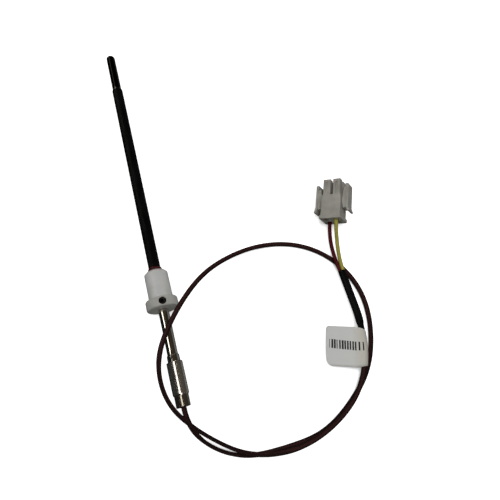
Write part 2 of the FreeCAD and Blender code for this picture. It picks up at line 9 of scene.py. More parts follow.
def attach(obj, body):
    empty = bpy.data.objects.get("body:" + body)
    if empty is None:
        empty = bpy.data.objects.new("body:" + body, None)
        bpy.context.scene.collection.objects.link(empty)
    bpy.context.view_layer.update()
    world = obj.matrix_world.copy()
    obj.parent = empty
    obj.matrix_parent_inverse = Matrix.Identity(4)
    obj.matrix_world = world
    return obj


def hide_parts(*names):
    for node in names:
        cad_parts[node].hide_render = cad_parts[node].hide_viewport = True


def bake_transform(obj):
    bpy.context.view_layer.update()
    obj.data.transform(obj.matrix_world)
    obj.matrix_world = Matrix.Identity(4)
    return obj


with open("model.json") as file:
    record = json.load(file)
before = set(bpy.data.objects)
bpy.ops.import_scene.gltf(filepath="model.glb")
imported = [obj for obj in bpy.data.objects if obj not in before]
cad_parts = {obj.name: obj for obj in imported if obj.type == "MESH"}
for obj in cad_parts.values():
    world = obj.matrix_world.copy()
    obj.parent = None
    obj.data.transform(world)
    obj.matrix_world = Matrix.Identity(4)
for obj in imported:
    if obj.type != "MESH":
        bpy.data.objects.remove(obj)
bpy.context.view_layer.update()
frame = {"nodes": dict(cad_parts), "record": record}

MM = 0.001
NODES = frame["nodes"]

# The camera, in the object's frame, and its lens on a 36 mm sensor.
CAMERA_PLACE = (0.0336, -0.07355, 0.2410)
CAMERA_RIGHT = (0.9627, -0.2706, 0.0)
CAMERA_UP = (0.2525, 0.8982, 0.3600)
CAMERA_LENS = 30.24

# Where heat has blackened the steel near the tip, in millimetres.
BLACKENED_FROM = 150.0
BLACKENED_TO = 162.0

# Where the bush's flange, darkened as painted shade, gives way to its brighter barrel, in millimetres.
FLANGE_SHADE_FROM = -0.9
FLANGE_SHADE_TO = 0.2

# How far the ferrule's reflections lean to the left.
FERRULE_LEAN = 0.28

# Driving dimensions, in millimetres. The loop's knots and the label's sizes follow the photo and differ
# a little from the CAD's.
FLOOR = -9.4
CRIMP_START_Y = -54.55
CRIMP_FULL_Y = -55.55
SEAL_FOOT_Y = 17.5
CABLE_WIDTH = 2.9
CABLE_HEIGHT = 1.9
CABLE_WAIST = 0.16
CABLE_WAIST_SPREAD = 0.38
CABLE_STRAIGHT_YS = (-58.55, -60.55, -62.25)
CABLE_STEP = 1.5
CABLE_FLEX_STEPS = 6
CABLE_UNEVEN_ROLL = 5
CABLE_REST_Z = FLOOR + 1.3
CABLE_EDGE_Z = FLOOR + CABLE_WIDTH / 2
CABLE_STACK_Z = CABLE_REST_Z + 2.7
LOOP_CENTRE = (53.9, -41.25)
# Each knot: angle round the loop's centre in degrees, distance from it, height.
LOOP_KNOTS = [
    (-152, 60.4, -2.1), (-143, 62.3, -6.0), (-133, 62.1, CABLE_EDGE_Z), (-118, 59.6, CABLE_REST_Z),
    (-99, 55.3, CABLE_REST_Z), (-75, 54.8, CABLE_REST_Z), (-49, 55.2, CABLE_REST_Z),
    (-30, 57.9, CABLE_REST_Z), (-9, 61.0, CABLE_REST_Z), (14, 65.4, CABLE_REST_Z),
    (36, 66.9, CABLE_REST_Z), (58, 65.4, CABLE_REST_Z), (78, 62.1, -7.4),
    (100, 57.0, -0.4), (120, 53.9, 7.5), (140, 52.9, 12.3), (158, 55.6, 13.3),
    (172, 59.8, 11.0), (187, 62.5, 6.3), (199, 62.2, 3.4), (211, 60.0, 0.8), (225, 58.4, -3.2),
    (244, 58.1, CABLE_STACK_Z), (268, 56.5, CABLE_STACK_Z), (299, 55.2, CABLE_STACK_Z), (318, 55.7, -5.7),
]
MOUTH = (109.6, -10.15)
TAIL_Z = -4.2
TAIL_STRAIGHT = 24.0
TAIL_BEND_R = 80.0
TAIL_LENGTH = 59.6
JACKET_END = 38.0
SHRINK_R = 2.3
SHRINK_NECK_R = 1.88
SHRINK_NEAR = 0.7
SHRINK_FAR = 46.0
SPLICES_END = 32.0
LABEL_NEAR = 36.5
LABEL_LENGTH = 23.0
LABEL_REACH = 20.6
LABEL_FRONT_CORNER = 2.0
LABEL_REAR_CORNER = 4.2
LABEL_SKEW = 1.2
LABEL_WRAP_R = 2.1
LABEL_WRAP_ANGLE = 128
LABEL_FOLD_RATIO = 1.7
LABEL_BULGE = 0.15
LABEL_FRONT_CUT = 2.2
LABEL_REAR_CUT = 1.4
LABEL_PAPER = 0.15
LABEL_FLAT_STEPS = 24
LABEL_WRAP_STEPS = 28
UNDERSIDE_SHIFT = 100.0
LEAD_R = 1.1
LEAD_FREE_R = 1.2
LEAD_OFFSET = 1.11
LEAD_BEND_START = 1.5
LEAD_DEPTH = 4.7
CONNECTOR_ORIGIN = Vector((114.5, 20.75, 0.1))
CONNECTOR_YAW = 20.5
CONNECTOR_PITCH = 9.5
CONNECTOR_ROLL = 29.0
CAVITY_HALF_PITCH = 3.175
RED_LEAD_KNOT = (109.3, 6.75, -4.4)
YELLOW_LEAD_KNOT = (112.1, 5.25, -1.0)
FLOOR_GAP = 0.02

# The floor's half size, in metres.
FLOOR_HALF_SIZE = 3.0

# The label's row of bars, in millimetres; the tilt is a slope.
BAR_START = 1.8
BAR_END = 20.2
BAR_MIDDLE = 10.0
BAR_TILT = 0.06
BAR_HEIGHT = 5.0
BAR_PITCH = 1.5

# Where the lying cable is turned towards its edge: from and to angle round the loop, amount, all in degrees.
ROLLS = [
    (-146, -119, 85), (-119, -92, 47), (-36, 2, 45), (174, 210, 62), (210, 241, 85), (241, 264, 57),
]
ROLL_EASE = 14.0


# Materials

def fill_ramp(ramp, stops):
    """Sets a colour ramp's stops, each a position and a colour."""
    elements = ramp.color_ramp.elements
    while len(elements) < len(stops):
        elements.new(0.5)
    for element, (position, colour) in zip(elements, stops):
        element.position = position
        element.color = (*colour, 1.0)


class Look:
    """A node material under construction."""

    def __init__(self, name, roughness=0.5, metallic=0.0):
        self.material = bpy.data.materials.new(name)
        self.material.use_nodes = True
        self.tree = self.material.node_tree
        self.shader = self.tree.nodes["Principled BSDF"]
        self.shader.inputs["Roughness"].default_value = roughness
        self.shader.inputs["Metallic"].default_value = metallic

    def node(self, kind, **values):
        made = self.tree.nodes.new(kind)
        for name, value in values.items():
            setattr(made, name, value)
        return made

    def join(self, source, target):
        self.tree.links.new(source, target)

    def place(self, stretch=(1, 1, 1)):
        """Coordinates in metres, squeezed along each axis."""
        coordinates = self.node("ShaderNodeTexCoord")
        mapping = self.node("ShaderNodeMapping")
        mapping.inputs["Scale"].default_value = stretch
        self.join(coordinates.outputs["Object"], mapping.inputs["Vector"])
        return mapping.outputs["Vector"]

    def cloud(self, scale, stretch=(1, 1, 1), detail=4.0):
        texture = self.node("ShaderNodeTexNoise")
        texture.inputs["Scale"].default_value = scale
        texture.inputs["Detail"].default_value = detail
        self.join(self.place(stretch), texture.inputs["Vector"])
        return texture.outputs["Fac"]

    def ramp(self, source, stops):
        """Colours along a 0 to 1 value; stops are (position, colour)."""
        made = self.node("ShaderNodeValToRGB")
        fill_ramp(made, stops)
        self.join(source, made.inputs["Fac"])
        return made.outputs["Color"]

    def beyond(self, start, end):
        """Rises from 0 to 1 along the stem between two places, in millimetres."""
        parts = self.node("ShaderNodeSeparateXYZ")
        self.join(self.place(), parts.inputs["Vector"])
        made = self.node("ShaderNodeMapRange")
        made.inputs["From Min"].default_value = start * MM
        made.inputs["From Max"].default_value = end * MM
        self.join(parts.outputs["Y"], made.inputs["Value"])
        return made.outputs["Result"]

    def spread(self, source, low, high):
        """Maps a 0 to 1 value to a range."""
        made = self.node("ShaderNodeMapRange")
        made.inputs["To Min"].default_value = low
        made.inputs["To Max"].default_value = high
        self.join(source, made.inputs["Value"])
        return made.outputs["Result"]

    def mix(self, share, first, second):
        made = self.node("ShaderNodeMix", data_type="RGBA")
        self.feed(share, made.inputs[0])
        self.feed(first, made.inputs[6])
        self.feed(second, made.inputs[7])
        return made.outputs[2]

    def sum(self, operation, first, second, third=0.0):
        """One step of arithmetic."""
        made = self.node("ShaderNodeMath", operation=operation)
        for value, target in zip((first, second, third), made.inputs):
            self.feed(value, target)
        return made.outputs["Value"]

    def feed(self, source, target):
        if isinstance(source, bpy.types.NodeSocket):
            self.join(source, target)
        elif isinstance(source, tuple):
            target.default_value = (*source, 1.0)
        else:
            target.default_value = source

    def bump(self, height, strength, distance):
        """Adds a bump on top of any bump already there."""
        made = self.node("ShaderNodeBump")
        made.inputs["Strength"].default_value = strength
        made.inputs["Distance"].default_value = distance
        self.join(height, made.inputs["Height"])
        already = self.shader.inputs["Normal"].links
        if already:
            self.join(already[0].from_socket, made.inputs["Normal"])
        self.join(made.outputs["Normal"], self.shader.inputs["Normal"])

    def colour(self, source):
        self.feed(source, self.shader.inputs["Base Color"])

    def rough(self, source):
        self.feed(source, self.shader.inputs["Roughness"])

    def set(self, name, value):
        self.shader.inputs[name].default_value = value


def mottled(name, dark, light, roughness, grain=900.0, depth=0.00002, stretch=(1, 1, 1)):
    """A base look: two close colours in soft clouds, uneven roughness and a fine grain."""
    look = Look(name)
    look.colour(look.ramp(look.cloud(160.0, stretch), [(0.3, dark), (0.7, light)]))
    look.rough(look.spread(look.cloud(420.0, stretch), roughness - 0.07, roughness + 0.07))
    look.bump(look.cloud(grain, stretch), 0.35, depth)
    return look


def drawn_metal(name, dark, light, roughness, grain=1.0):
    """Drawn metal: fine scratches along the stem, faint stains."""
    look = Look(name, metallic=1.0)
    stain = look.cloud(120.0, (1, 0.5, 1), 6.0)
    scratches = look.cloud(2600.0, (1, 0.02, 1), 3.0)
    look.colour(look.ramp(stain, [(0.3, dark), (0.75, light)]))
    look.rough(look.spread(scratches, roughness - 0.03, roughness + 0.08))
    look.bump(scratches, 0.12 * grain, 0.000006)
    look.bump(look.cloud(500.0, (1, 0.15, 1)), 0.10 * grain, 0.00002)
    return look


def shade_along(look, start, end, before, after):
    """Multiplies the colour by one shade before a place along the stem and by another after it."""
    colour = look.shader.inputs["Base Color"].links[0].from_socket
    made = look.node("ShaderNodeMix", data_type="RGBA", blend_type="MULTIPLY")
    made.inputs[0].default_value = 1.0
    look.join(colour, made.inputs[6])
    look.join(look.mix(look.beyond(start, end), before, after), made.inputs[7])
    look.colour(made.outputs[2])


def sheath_look(name):
    """Polished sheath, blackened by heat towards its tip."""
    look = drawn_metal(name, (0.42, 0.41, 0.37), (0.70, 0.69, 0.65), 0.13)
    shade_along(look, BLACKENED_FROM, BLACKENED_TO, (1, 1, 1), (0.003, 0.002, 0.0015))
    return look.material


def ferrule_look(name):
    """Turned ferrule whose crimp is darkened as painted shade, duller than its front; its polish leans to the
    left.
    """
    look = drawn_metal(name, (0.44, 0.42, 0.37), (0.66, 0.64, 0.59), 0.17, 0.3)
    look.set("Metallic", 0.93)
    # Painted shade: the crimp is darkened where its highlight breaks up.
    shade_along(look, CRIMP_FULL_Y, CRIMP_START_Y, (0.42, 0.40, 0.36), (1, 1, 1))
    lean = look.node("ShaderNodeVectorMath", operation="ADD")
    lean.inputs[1].default_value = (-FERRULE_LEAN, 0, 0)
    level = look.node("ShaderNodeVectorMath", operation="NORMALIZE")
    look.join(look.shader.inputs["Normal"].links[0].from_socket, lean.inputs[0])
    look.join(lean.outputs["Vector"], level.inputs[0])
    look.join(level.outputs["Vector"], look.shader.inputs["Normal"])
    return look.material


def cable_look(name):
    """Brown jacket, lighter along its middle and nearly black at its edges, as painted shade across its
    rounded width.
    """
    look = Look(name)
    across = look.node("ShaderNodeUVMap", uv_map="strip")
    parts = look.node("ShaderNodeSeparateXYZ")
    look.join(across.outputs["UV"], parts.inputs["Vector"])
    # Painted shade across the width: lighter over the two cores, a little darker in the waist between them,
    # nearly black at the edges.
    body = look.ramp(parts.outputs["X"], [
        (0.0, (0.006, 0.0035, 0.0035)), (0.27, (0.010, 0.0045, 0.0045)), (0.39, (0.032, 0.012, 0.011)),
        (0.5, (0.024, 0.009, 0.008)), (0.61, (0.032, 0.012, 0.011)), (0.73, (0.010, 0.0045, 0.0045)),
        (1.0, (0.006, 0.0035, 0.0035)),
    ])
    wear_and_shade = look.cloud(260.0, detail=6.0)
    look.colour(look.mix(look.spread(wear_and_shade, 0.0, 0.3), body, (0.045, 0.019, 0.017)))
    look.rough(look.spread(look.cloud(700.0), 0.42, 0.6))
    look.bump(look.cloud(1500.0), 0.3, 0.00002)
    look.set("Specular IOR Level", 0.06)
    return look.material


def lead_look(name, dark, light):
    look = mottled(name, dark, light, 0.42, 1400.0)
    look.set("Specular IOR Level", 0.12)
    return look.material


def bush_look(name):
    """White turned plastic: very fine lathe rings, soft light inside it and a few smudges."""
    look = Look(name)
    smudge = look.cloud(140.0, (1, 1, 1), 6.0)
    stops = [(0.25, (0.44, 0.44, 0.42)), (0.5, (0.52, 0.52, 0.505)), (0.8, (0.56, 0.56, 0.55))]
    look.colour(look.ramp(smudge, stops))
    rings = look.node("ShaderNodeTexWave", wave_type="BANDS", bands_direction="Y", wave_profile="SIN")
    rings.inputs["Scale"].default_value = 900.0
    rings.inputs["Distortion"].default_value = 1.5
    look.join(look.place(), rings.inputs["Vector"])
    look.rough(look.spread(look.cloud(500.0), 0.42, 0.56))
    look.bump(rings.outputs["Fac"], 0.12, 0.00001)
    look.bump(look.cloud(700.0), 0.15, 0.00003)
    # Painted shade: the flange is darker than the barrel.
    shade_along(look, FLANGE_SHADE_FROM, FLANGE_SHADE_TO, (0.76, 0.755, 0.72), (1, 1, 1))
    look.set("Subsurface Weight", 0.1)
    look.set("Subsurface Scale", 0.0008)
    return look.material


def paper_look(name):
    """Matt label paper with fibres, painted shade that turns yellowish and darker towards the fold and round
    the tail, a darker underside as painted shade, a darker strip along the rear edge and a row of plain bars.

    The label's map runs from its free edge (u) and from its front edge (v), in centimetres.
    """
    look = Look(name, roughness=0.75)
    across = look.node("ShaderNodeUVMap", uv_map="strip")
    parts = look.node("ShaderNodeSeparateXYZ")
    look.join(across.outputs["UV"], parts.inputs["Vector"])
    reach = look.sum("MULTIPLY", parts.outputs["X"], 0.4)
    # Painted shade: yellowish and darker towards the fold, darkest round the far side of the tail.
    base = look.ramp(reach, [
        (0.0, (0.62, 0.62, 0.61)), (0.60, (0.63, 0.63, 0.61)), (0.78, (0.60, 0.58, 0.51)),
        (0.90, (0.38, 0.36, 0.31)), (1.0, (0.12, 0.11, 0.09)),
    ])
    # Painted shade: the underside, whose map is shifted past this step, is darkened by half; the top layer
    # also darkens along its rear edge.
    down = look.sum("MULTIPLY", parts.outputs["Y"], 0.4)
    edge = look.ramp(down, [(0.86, (0, 0, 0)), (0.90, (0.5, 0.5, 0.5))])
    wear_and_shade = look.mix(edge, base, (0.30, 0.29, 0.27))
    fibres = look.cloud(900.0, (1, 1, 1), 8.0)
    paper = look.mix(look.spread(fibres, 0.0, 0.25), wear_and_shade, (0.48, 0.48, 0.46))
    look.colour(look.mix(bar_row(look, parts), paper, (0.012, 0.012, 0.014)))
    look.bump(fibres, 0.25, 0.00003)
    look.bump(look.cloud(90.0), 0.3, 0.0002)
    return look.material


def bar_row(look, parts):
    """A tilted row of plain bars of uneven width, as a 0 to 1 mask."""
    middle = look.sum("MULTIPLY_ADD", parts.outputs["X"], BAR_TILT, BAR_MIDDLE / 10)
    away = look.sum("ABSOLUTE", look.sum("SUBTRACT", parts.outputs["Y"], middle), 0.0)
    in_height = look.sum("LESS_THAN", away, BAR_HEIGHT / 20)
    after_start = look.sum("GREATER_THAN", parts.outputs["X"], BAR_START / 10)
    before_end = look.sum("LESS_THAN", parts.outputs["X"], BAR_END / 10)
    pitches = look.sum("MULTIPLY", parts.outputs["X"], 10 / BAR_PITCH)
    chance = look.node("ShaderNodeTexWhiteNoise", noise_dimensions="1D")
    look.join(look.sum("FLOOR", pitches, 0.0), chance.inputs["W"])
    width = look.spread(chance.outputs["Value"], 0.35, 0.75)
    printed = look.sum("LESS_THAN", look.sum("FRACT", pitches, 0.0), width)
    row = look.sum("MULTIPLY", in_height, look.sum("MULTIPLY", after_start, before_end))
    return look.sum("MULTIPLY", row, printed)


def connector_look(name):
    """Moulded beige-grey nylon, slightly translucent, with a fine spark-eroded grain."""
    look = mottled(name, (0.255, 0.245, 0.215), (0.345, 0.335, 0.30), 0.5, 1800.0, 0.000025)
    look.set("Subsurface Weight", 0.1)
    look.set("Subsurface Scale", 0.001)
    return look.material


def seal_look(name):
    look = mottled(name, (0.028, 0.004, 0.005), (0.085, 0.010, 0.012), 0.38, 900.0, 0.00005)
    look.set("Specular IOR Level", 0.2)
    return look.material


def sleeve_look(name):
    """Black sleeve with faint lengthwise streaks and a dull sheen."""
    look = Look(name)
    streaks = look.cloud(900.0, (1, 0.03, 1), 5.0)
    patches = look.cloud(260.0, (1, 0.3, 1), 6.0)
    look.colour(look.ramp(patches, [(0.35, (0.0012, 0.0013, 0.0013)), (0.75, (0.0045, 0.0048, 0.0048))]))
    look.rough(look.spread(streaks, 0.45, 0.62))
    look.bump(streaks, 0.3, 0.00002)
    look.bump(patches, 0.3, 0.00006)
    look.set("Specular IOR Level", 0.04)
    return look.material


def shrink_look(name):
    look = mottled(name, (0.0018, 0.0019, 0.002), (0.006, 0.0064, 0.0064), 0.55, 900.0, 0.00004, (1, 0.4, 1))
    look.set("Specular IOR Level", 0.05)
    return look.material


def make_looks():
    return {
        "steel": sheath_look("drawn_steel"),
        "ferrule_steel": ferrule_look("ferrule_steel"),
        "black_sleeve": sleeve_look("black_sleeve"),
        "red_silicone": seal_look("red_silicone"),
        "alumina": mottled("alumina", (0.66, 0.63, 0.56), (0.80, 0.78, 0.72), 0.8).material,
        "wire_alloy": drawn_metal("wire_alloy", (0.28, 0.27, 0.25), (0.45, 0.44, 0.42), 0.3).material,
        "white_plastic": bush_look("white_turned_plastic"),
        "brass": drawn_metal("brass", (0.50, 0.36, 0.15), (0.72, 0.56, 0.28), 0.3).material,
        "dark_screw": mottled("black_oxide", (0.002, 0.002, 0.002), (0.008, 0.008, 0.008), 0.6).material,
        "resin": mottled("potting_resin", (0.03, 0.02, 0.015), (0.07, 0.05, 0.04), 0.3).material,
        "tinned_metal": drawn_metal("tinned_metal", (0.50, 0.50, 0.48), (0.70, 0.70, 0.68), 0.3).material,
        "black_rubber": mottled("black_rubber", (0.01, 0.01, 0.01), (0.03, 0.03, 0.03), 0.7).material,
        "brown_cable": cable_look("brown_cable"),
        "red_insulation": lead_look("red_insulation", (0.045, 0.004, 0.006), (0.095, 0.008, 0.012)),
        "yellow_insulation": lead_look("yellow_insulation", (0.24, 0.21, 0.035), (0.40, 0.37, 0.08)),
        "black_shrink": shrink_look("black_heat_shrink"),
        "label_paper": paper_look("label_paper"),
        "label_print": mottled("label_print", (0.008, 0.008, 0.009), (0.03, 0.03, 0.03), 0.6).material,
        "grey_nylon": connector_look("moulded_nylon"),
    }


def dress_nodes(looks):
    """Gives every carried-over CAD node its procedural finish."""
    for part in frame["record"]["subparts"]:
        node = NODES[part["node"]]
        node.data.materials.clear()
        name = "ferrule_steel" if part["node"] == "ferrule" else part["material_slot"]
        node.data.materials.append(looks[name])


# Mesh helpers

def make_piece(name, vertices, faces, look):
    mesh = bpy.data.meshes.new(name)
    mesh.from_pydata([tuple(point) for point in vertices], [], faces)
    mesh.update()
    piece = bpy.data.objects.new(name, mesh)
    bpy.context.scene.collection.objects.link(piece)
    mesh.materials.append(look)
    for face in mesh.polygons:
        face.use_smooth = True
    return piece


def spline_through(knots, step):
    """Points at a steady step along the natural cubic spline through the knots."""
    points = np.array(knots, float)
    gaps = np.linalg.norm(np.diff(points, axis=0), axis=1)
    place = np.concatenate([[0.0], np.cumsum(gaps)])
    count = len(points)
    matrix = np.eye(count)
    right = np.zeros_like(points)
    slopes = np.diff(points, axis=0) / gaps[:, None]
    for i in range(1, count - 1):
        matrix[i, i - 1] = gaps[i - 1]
        matrix[i, i] = 2 * (gaps[i - 1] + gaps[i])
        matrix[i, i + 1] = gaps[i]
        right[i] = 6 * (slopes[i] - slopes[i - 1])
    bend = np.linalg.solve(matrix, right)
    samples = []
    for distance in np.linspace(0, place[-1], int(place[-1] / step) + 2):
        i = min(np.searchsorted(place, distance, side="right") - 1, count - 2)
        a = (place[i + 1] - distance) / gaps[i]
        b = 1 - a
        curve = ((a ** 3 - a) * bend[i] + (b ** 3 - b) * bend[i + 1]) * gaps[i] ** 2 / 6
        samples.append(Vector(a * points[i] + b * points[i + 1] + curve))
    return samples


def directions(path):
    result = []
    for i in range(len(path)):
        ahead = path[min(i + 1, len(path) - 1)]
        behind = path[max(i - 1, 0)]
        result.append((ahead - behind).normalized())
    return result


def tube_faces(rows, count):
    """The faces between neighbouring closed rows of points."""
    faces = []
    for i in range(rows - 1):
        for j in range(count):
            k = (j + 1) % count
            faces.append((i * count + j, i * count + k, (i + 1) * count + k, (i + 1) * count + j))
    return faces


def sweep(name, path, outline, look, size=None, roll=None):
    """A capped skin along a path in millimetres. size(i) scales the outline, roll(i) turns it, in degrees."""
    vertices = []
    count = len(outline)
    for i, (point, along) in enumerate(zip(path, directions(path))):
        side = along.cross(Vector((0, 0, 1))).normalized()
        top = side.cross(along).normalized()
        turn = math.radians(roll(i)) if roll else 0.0
        scale = size(i) if size else 1.0
        for across, up in outline:
            x = (across * math.cos(turn) - up * math.sin(turn)) * scale
            z = (across * math.sin(turn) + up * math.cos(turn)) * scale
            vertices.append((point + side * x + top * z) * MM)
    faces = tube_faces(len(path), count)
    faces.append(tuple(range(count - 1, -1, -1)))
    last = (len(path) - 1) * count
    faces.append(tuple(range(last, last + count)))
    return make_piece(name, vertices, faces, look)


def circle(radius, count=20):
    points = []
    for j in range(count):
        turn = 2 * math.pi * j / count
        points.append((radius * math.cos(turn), radius * math.sin(turn)))
    return points


def mark_strip(piece, outline_count, values):
    """Writes a UV map whose first value runs across the piece."""
    layer = piece.data.uv_layers.new(name="strip")
    for loop in piece.data.loops:
        layer.data[loop.index].uv = (values[loop.vertex_index % outline_count], 0.0)


def wobble(x, y, z, scale):
    """Repeatable noise from -1 to 1."""
    return noise.noise(Vector((x, y, z)) * scale)


# Cable

def tail_point(distance, offset=0.0):
    """A point of the tail, at a distance back from the sleeve's mouth and an offset to the right."""
    if distance <= TAIL_STRAIGHT:
        return Vector((MOUTH[0] + offset, MOUTH[1] - distance, TAIL_Z))
    turn = (distance - TAIL_STRAIGHT) / TAIL_BEND_R
    reach = TAIL_BEND_R + offset
    centre_x = MOUTH[0] - TAIL_BEND_R
    centre_y = MOUTH[1] - TAIL_STRAIGHT
    return Vector((centre_x + reach * math.cos(turn), centre_y - reach * math.sin(turn), TAIL_Z))


def loop_point(angle, radius, height):
    turn = math.radians(angle)
    return (LOOP_CENTRE[0] + radius * math.cos(turn), LOOP_CENTRE[1] + radius * math.sin(turn), height)


def cable_outline():
    """The jacket's outline: two cores side by side with a shallow waist between them."""
    points = []
    count = 28
    half_flat = (CABLE_WIDTH - CABLE_HEIGHT) / 2
    for j in range(count):
        turn = 2 * math.pi * j / count
        x = math.cos(turn) * CABLE_HEIGHT / 2 + math.copysign(half_flat, math.cos(turn))
        z = math.sin(turn) * CABLE_HEIGHT / 2
        waist = CABLE_WAIST * math.exp(-(x / CABLE_WAIST_SPREAD) ** 2)
        points.append((x, z - math.copysign(waist, z)))
    return points


def cable_path():
    knots = [(0, y, 0) for y in CABLE_STRAIGHT_YS]
    knots += [loop_point(*knot) for knot in LOOP_KNOTS]
    for share in (1.0, 0.6, 0.25, 0.0):
        knots.append(tuple(tail_point(JACKET_END + share * (TAIL_LENGTH - JACKET_END))))
    return spline_through(knots, CABLE_STEP)


def unwound_angles(path):
    """The angle round the loop at each point, counted on past a full turn."""
    angles = []
    for place in path:
        angle = math.degrees(math.atan2(place.y - LOOP_CENTRE[1], place.x - LOOP_CENTRE[0]))
        if angles:
            angle += 360 * round((angles[-1] - angle) / 360)
        angles.append(angle)
    return angles


def smooth_step(value):
    value = min(1.0, max(0.0, value))
    return value * value * (3 - 2 * value)


def cable(looks):
    """The jacket in two skins: a short one that bends at the ferrule, and the loop."""
    path = cable_path()
    outline = cable_outline()
    across = [0.5 + x / CABLE_WIDTH for x, _ in outline]
    flex_end = CABLE_FLEX_STEPS
    angles = unwound_angles(path)

    def roll(i):
        place = path[i]
        on_edge = 0.0
        for start, end, amount in ROLLS:
            rise = smooth_step((angles[i] - start) / ROLL_EASE + 0.5)
            fall = smooth_step((angles[i] - end) / ROLL_EASE + 0.5)
            on_edge += amount * (rise - fall)
        return on_edge + CABLE_UNEVEN_ROLL * wobble(place.x, place.y, place.z, 0.03)

    for i, place in enumerate(path):
        lean = abs(math.sin(math.radians(roll(i))))
        place.z = max(place.z, FLOOR + CABLE_HEIGHT / 2 + lean * (CABLE_WIDTH - CABLE_HEIGHT) / 2)

    def loop_roll(i):
        return roll(i + flex_end)

    flex = sweep("cable_flex", path[:flex_end + 1], outline, looks["brown_cable"])
    loop = sweep("cable_loop", path[flex_end:], outline, looks["brown_cable"], roll=loop_roll)
    for piece in (flex, loop):
        mark_strip(piece, len(outline), across)
    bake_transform(flex)
    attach(loop, "cable")
    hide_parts("cable_anchored_end")
    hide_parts("cable_jacket")


def heat_shrink(looks):
    """Shrunk sleeve: wide over the splices, and drawn in over the jacket behind them."""
    steps = 72
    places = [SHRINK_NEAR + (SHRINK_FAR - SHRINK_NEAR) * step / steps for step in range(steps + 1)]
    path = [tail_point(distance) for distance in places]

    def size(i):
        distance = places[i]
        mouth = 0.05 * math.exp(-(distance - SHRINK_NEAR) / 0.8)
        neck = (1 - SHRINK_NECK_R / SHRINK_R) * smooth_step((distance - SPLICES_END - 0.5) / 3.0)
        return 1.0 - mouth - neck + 0.014 * wobble(path[i].x, path[i].y, 3.0, 0.25)

    sleeve = sweep("heat_shrink_skin", path, circle(SHRINK_R, 32), looks["black_shrink"], size=size)
    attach(sleeve, "cable")
    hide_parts("heat_shrink")


# Label

def label_edge_reach(down):
    """How far the flag reaches from the tail, at a distance behind its front edge: rounded corners."""
    reach = LABEL_REACH
    for corner, gap in ((LABEL_FRONT_CORNER, down), (LABEL_REAR_CORNER, LABEL_LENGTH - down)):
        if gap < corner:
            reach = LABEL_REACH - corner + math.sqrt(max(0.0, corner ** 2 - (corner - gap) ** 2))
    return reach


def label_rows():
    """Distances behind the front edge, closer together round the corners."""
    rows = []
    for step in range(41):
        turn = math.pi * step / 40
        rows.append(LABEL_LENGTH * (1 - math.cos(turn)) / 2)
    return rows


def label_line(down):
    """One line across the label: out from the flag's edge, round the tail and back on the underside.

    Each point comes with its place on the label's map.
    """
    near = tail_point(LABEL_NEAR)
    back = (tail_point(LABEL_NEAR + LABEL_LENGTH) - near).normalized()
    left = Vector((back.y, -back.x, 0))
    skew = Matrix.Rotation(math.radians(-LABEL_SKEW), 3, "Z")
    reach = label_edge_reach(down)
    fold = LABEL_WRAP_R * LABEL_FOLD_RATIO
    top = []
    under = []
    for step in range(LABEL_FLAT_STEPS + 1):
        out = reach - (reach - fold) * step / LABEL_FLAT_STEPS
        place = near + skew @ (back * down + left * out)
        height = label_curl(out, down)
        map_x = LABEL_REACH - out
        top.append((place + Vector((0, 0, height + LABEL_PAPER)), map_x, down))
        under.append((place + Vector((0, 0, height - LABEL_PAPER)), map_x, down + UNDERSIDE_SHIFT))
    wrap = []
    share = down / LABEL_LENGTH
    radius = LABEL_WRAP_R + LABEL_BULGE * math.sin(math.pi * share)
    for step in range(1, LABEL_WRAP_STEPS):
        angle = math.radians(LABEL_WRAP_ANGLE - 2 * LABEL_WRAP_ANGLE * step / LABEL_WRAP_STEPS)
        to_right = (1 + math.cos(angle)) / 2
        cut = LABEL_FRONT_CUT * (1 - share) ** 3 - LABEL_REAR_CUT * share ** 3
        distance = LABEL_NEAR + down + to_right * cut
        centre = tail_point(distance)
        right = tail_point(distance, 1.0) - centre
        place = centre + (right * math.cos(angle) + Vector((0, 0, math.sin(angle)))) * radius
        wrap.append((place, LABEL_REACH + radius * math.cos(angle), down))
    return top + wrap + under[::-1]


def label(looks):
    """The folded label's skin, closed at the flag's edges."""
    rows = [label_line(down) for down in label_rows()]
    count = len(rows[0])
    vertices = [place * MM for row in rows for place, _, _ in row]
    maps = [(x / 10, y / 10) for row in rows for _, x, y in row]
    faces = tube_faces(len(rows), count)
    for first in (0, (len(rows) - 1) * count):
        for j in range(LABEL_FLAT_STEPS):
            faces.append((first + j, first + j + 1, first + count - 2 - j, first + count - 1 - j))
    paper = make_piece("label_skin", vertices, faces, looks["label_paper"])
    layer = paper.data.uv_layers.new(name="strip")
    for loop in paper.data.loops:
        layer.data[loop.index].uv = maps[loop.vertex_index]
    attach(paper, "cable")
    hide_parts("label_flag")


def label_curl(out, down):
    """The flag's slight waviness, in millimetres of height."""
    share = out / LABEL_REACH
    return share * (0.35 * math.sin(down * 0.28 + 0.6) + 0.25 * wobble(out, down, 2.0, 0.12))


# Leads

def connector_axes():
    yaw = math.radians(CONNECTOR_YAW)
    pitch = math.radians(CONNECTOR_PITCH)
    roll = math.radians(CONNECTOR_ROLL)
    ahead = Vector((math.sin(yaw) * math.cos(pitch), math.cos(yaw) * math.cos(pitch), math.sin(pitch)))
    level_right = Vector((math.cos(yaw), -math.sin(yaw), 0))
    level_up = level_right.cross(ahead)
    up = level_up * math.cos(roll) - level_right * math.sin(roll)
    return ahead.cross(up), ahead, up


